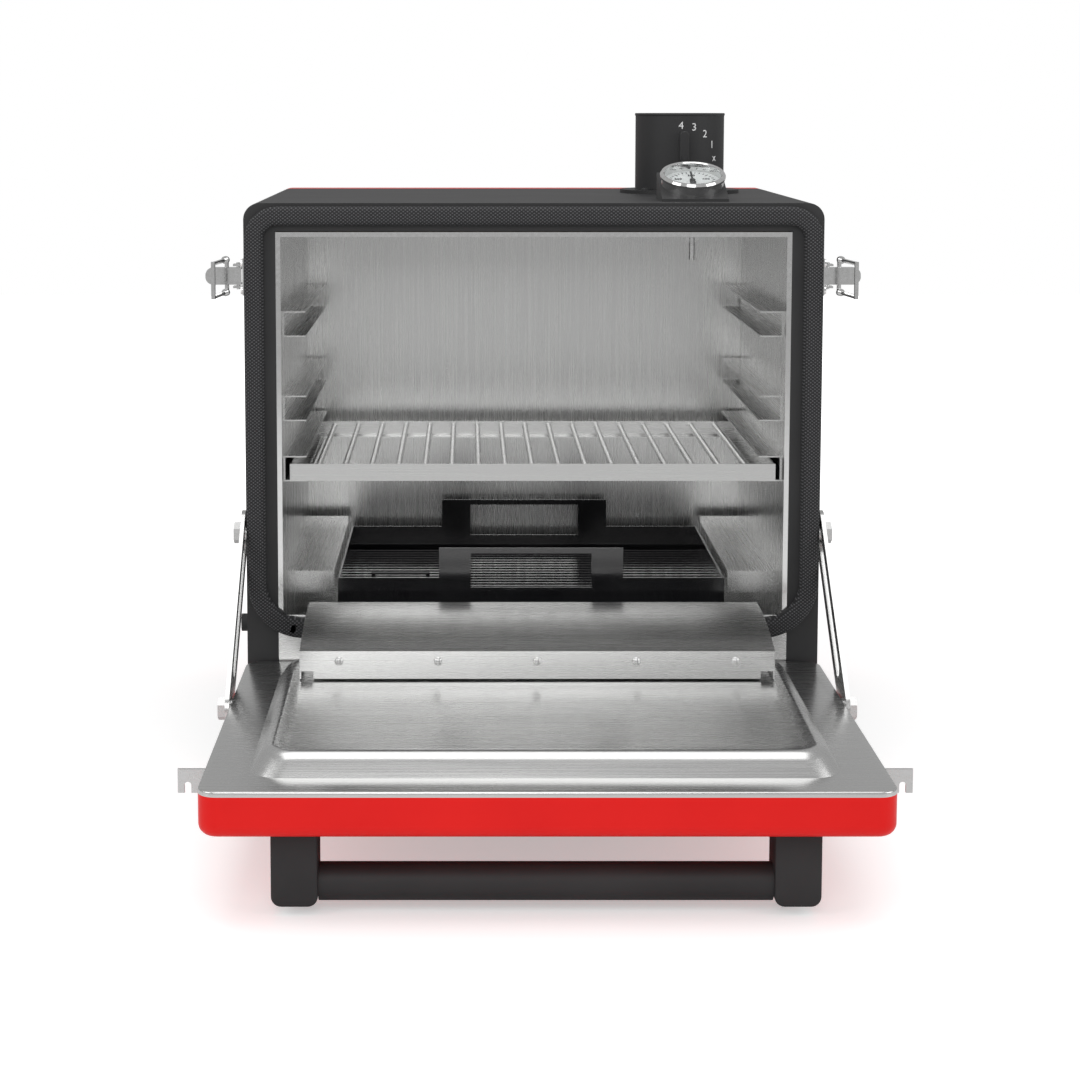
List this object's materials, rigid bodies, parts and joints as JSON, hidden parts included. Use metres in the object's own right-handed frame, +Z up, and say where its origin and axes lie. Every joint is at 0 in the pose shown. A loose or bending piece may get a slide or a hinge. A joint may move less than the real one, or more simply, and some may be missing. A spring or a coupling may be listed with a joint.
{
  "type": "charcoal oven grill",
  "caption": "Box-shaped charcoal oven with a drop-down door, barred grate, charcoal basket, flue with damper, side latches and ember guard.",
  "frame": {"origin": "on the floor under the middle of the oven's width, in the plane of the body's front face", "axes": "+X to the oven's right as seen from the front, +Y from the front to the back, +Z up; the door is open and reaches towards -Y"},
  "size_m": [0.684, 0.91, 0.6945],
  "materials": {
    "red_enamel": "satin red enamel",
    "black_enamel": "fine textured matte black",
    "gloss_black": "gloss black enamel",
    "stainless": "brushed lengthways",
    "bolt_steel": "plain stainless",
    "chrome": "bright",
    "rope": "braided rope seal",
    "wool": "mineral wool",
    "rubber": "matte",
    "glass": "clear",
    "dial": "printed white face",
    "needle": "matte black"
  },
  "bodies": {
    "oven": {"base_pan": "black_enamel", "casing_shell": "black_enamel", "cavity_liner": "stainless", "door_seal": "rope", "drawer_runners": "stainless", "flue_collar": "black_enamel", "flue_pipe": "black_enamel", "hinge_pins": "bolt_steel", "latch_base_left": "chrome", "latch_base_right": "chrome", "opening_rim": "chrome", "rack_rail_left_low": "stainless", "rack_rail_left_mid": "stainless", "rack_rail_left_top": "stainless", "rack_rail_right_low": "stainless", "rack_rail_right_mid": "stainless", "rack_rail_right_top": "stainless", "rear_shell": "red_enamel", "rubber_feet": "rubber", "side_ledge_left": "stainless", "side_ledge_right": "stainless", "sill_panel": "stainless", "thermometer_bracket": "black_enamel", "thermometer_case": "chrome", "thermometer_dial": "dial", "thermometer_glass": "glass", "thermometer_probe": "stainless", "wool_blanket": "wool"},
    "door": {"door_shell": "red_enamel", "door_panel": "stainless", "door_filling": "wool", "handle_posts": "black_enamel", "handle_bar": "black_enamel", "hinge_lugs": "black_enamel", "keeper_right": "bolt_steel", "keeper_left": "bolt_steel", "ember_guard": "stainless", "guard_bracket": "stainless", "guard_screws": "bolt_steel", "stay_bolts": "bolt_steel"},
    "stay_arm_right": {"stay_right": "bolt_steel"},
    "stay_arm_left": {"stay_left": "bolt_steel"},
    "bolt_right": {"slide_bolt_right": "bolt_steel"},
    "bolt_left": {"slide_bolt_left": "bolt_steel"},
    "lever_right": {"latch_lever_right": "chrome"},
    "lever_left": {"latch_lever_left": "chrome"},
    "bail_right": {"latch_bail_right": "chrome"},
    "bail_left": {"latch_bail_left": "chrome"},
    "grate": {"grate_frame": "stainless", "grate_rods": "stainless"},
    "damper": {"damper_plate": "black_enamel", "damper_lever": "black_enamel"},
    "regulator": {"air_regulator": "black_enamel"},
    "needle": {"thermometer_needle": "needle"},
    "drawer": {"ash_drawer": "stainless"},
    "basket": {"charcoal_basket": "gloss_black", "charcoal_grate": "stainless", "grate_lifter": "stainless"}
  },
  "joints": [
    {"name": "door_hinge", "type": "hinge", "parent": "oven", "child": "door", "pos_m": [0, 0.006, 0.1405], "axis": [-1, 0, 0], "range_deg": [0, 90]},
    {"name": "stay_pivot_right", "type": "hinge", "parent": "door", "child": "stay_arm_right", "pos_m": [0.3035, -0.153, 0.112], "axis": [-1, 0, 0], "range_deg": [0, 2.7]},
    {"name": "stay_bolt_slide_right", "type": "slide", "parent": "stay_arm_right", "child": "bolt_right", "axis": [0, -0.7534, -0.6575], "range_m": [0, 0.16348]},
    {"name": "latch_lever_right", "type": "hinge", "parent": "oven", "child": "lever_right", "pos_m": [0.308, 0.025, 0.526], "axis": [0, 0, 1], "range_deg": [0, 90]},
    {"name": "latch_bail_right", "type": "hinge", "parent": "lever_right", "child": "bail_right", "pos_m": [0.32, 0.025, 0.526], "axis": [0, 0, 1], "range_deg": [-90, 0]},
    {"name": "stay_pivot_left", "type": "hinge", "parent": "door", "child": "stay_arm_left", "pos_m": [-0.3035, -0.153, 0.112], "axis": [-1, 0, 0], "range_deg": [0, 2.7]},
    {"name": "stay_bolt_slide_left", "type": "slide", "parent": "stay_arm_left", "child": "bolt_left", "axis": [0, -0.7534, -0.6575], "range_m": [0, 0.16348]},
    {"name": "latch_lever_left", "type": "hinge", "parent": "oven", "child": "lever_left", "pos_m": [-0.308, 0.025, 0.526], "axis": [0, 0, -1], "range_deg": [0, 90]},
    {"name": "latch_bail_left", "type": "hinge", "parent": "lever_left", "child": "bail_left", "pos_m": [-0.32, 0.025, 0.526], "axis": [0, 0, -1], "range_deg": [-90, 0]},
    {"name": "grate_slide", "type": "slide", "parent": "oven", "child": "grate", "axis": [0, 1, 0], "range_m": [-0.25, 0]},
    {"name": "damper_turn", "type": "hinge", "parent": "oven", "child": "damper", "pos_m": [0.177, 0.29, 0.6445], "axis": [0, 1, 0], "range_deg": [0, 90]},
    {"name": "air_regulator_turn", "type": "hinge", "parent": "oven", "child": "regulator", "pos_m": [-0.3, 0.2, 0.116], "axis": [-1, 0, 0], "range_deg": [0, 45]},
    {"name": "thermometer_needle_turn", "type": "hinge", "parent": "oven", "child": "needle", "pos_m": [0.17, 0.068, 0.61874], "axis": [0, -0.342, 0.9397], "range_deg": [0, 270]},
    {"name": "ash_drawer_slide", "type": "slide", "parent": "oven", "child": "drawer", "axis": [0, 1, 0], "range_m": [-0.25, 0]},
    {"name": "charcoal_basket_lift", "type": "slide", "parent": "oven", "child": "basket", "axis": [0, 0, 1], "range_m": [0, 0.06]}
  ],
  "couplings": [
    {"joint": "stay_pivot_right", "follows": "door_hinge", "ratio": 0.029934},
    {"joint": "stay_bolt_slide_right", "follows": "door_hinge", "m_per_rad": 0.10407},
    {"joint": "latch_bail_right", "follows": "latch_lever_right", "ratio": -1},
    {"joint": "stay_pivot_left", "follows": "door_hinge", "ratio": 0.029934},
    {"joint": "stay_bolt_slide_left", "follows": "door_hinge", "m_per_rad": 0.10407},
    {"joint": "latch_bail_left", "follows": "latch_lever_left", "ratio": -1}
  ]
}
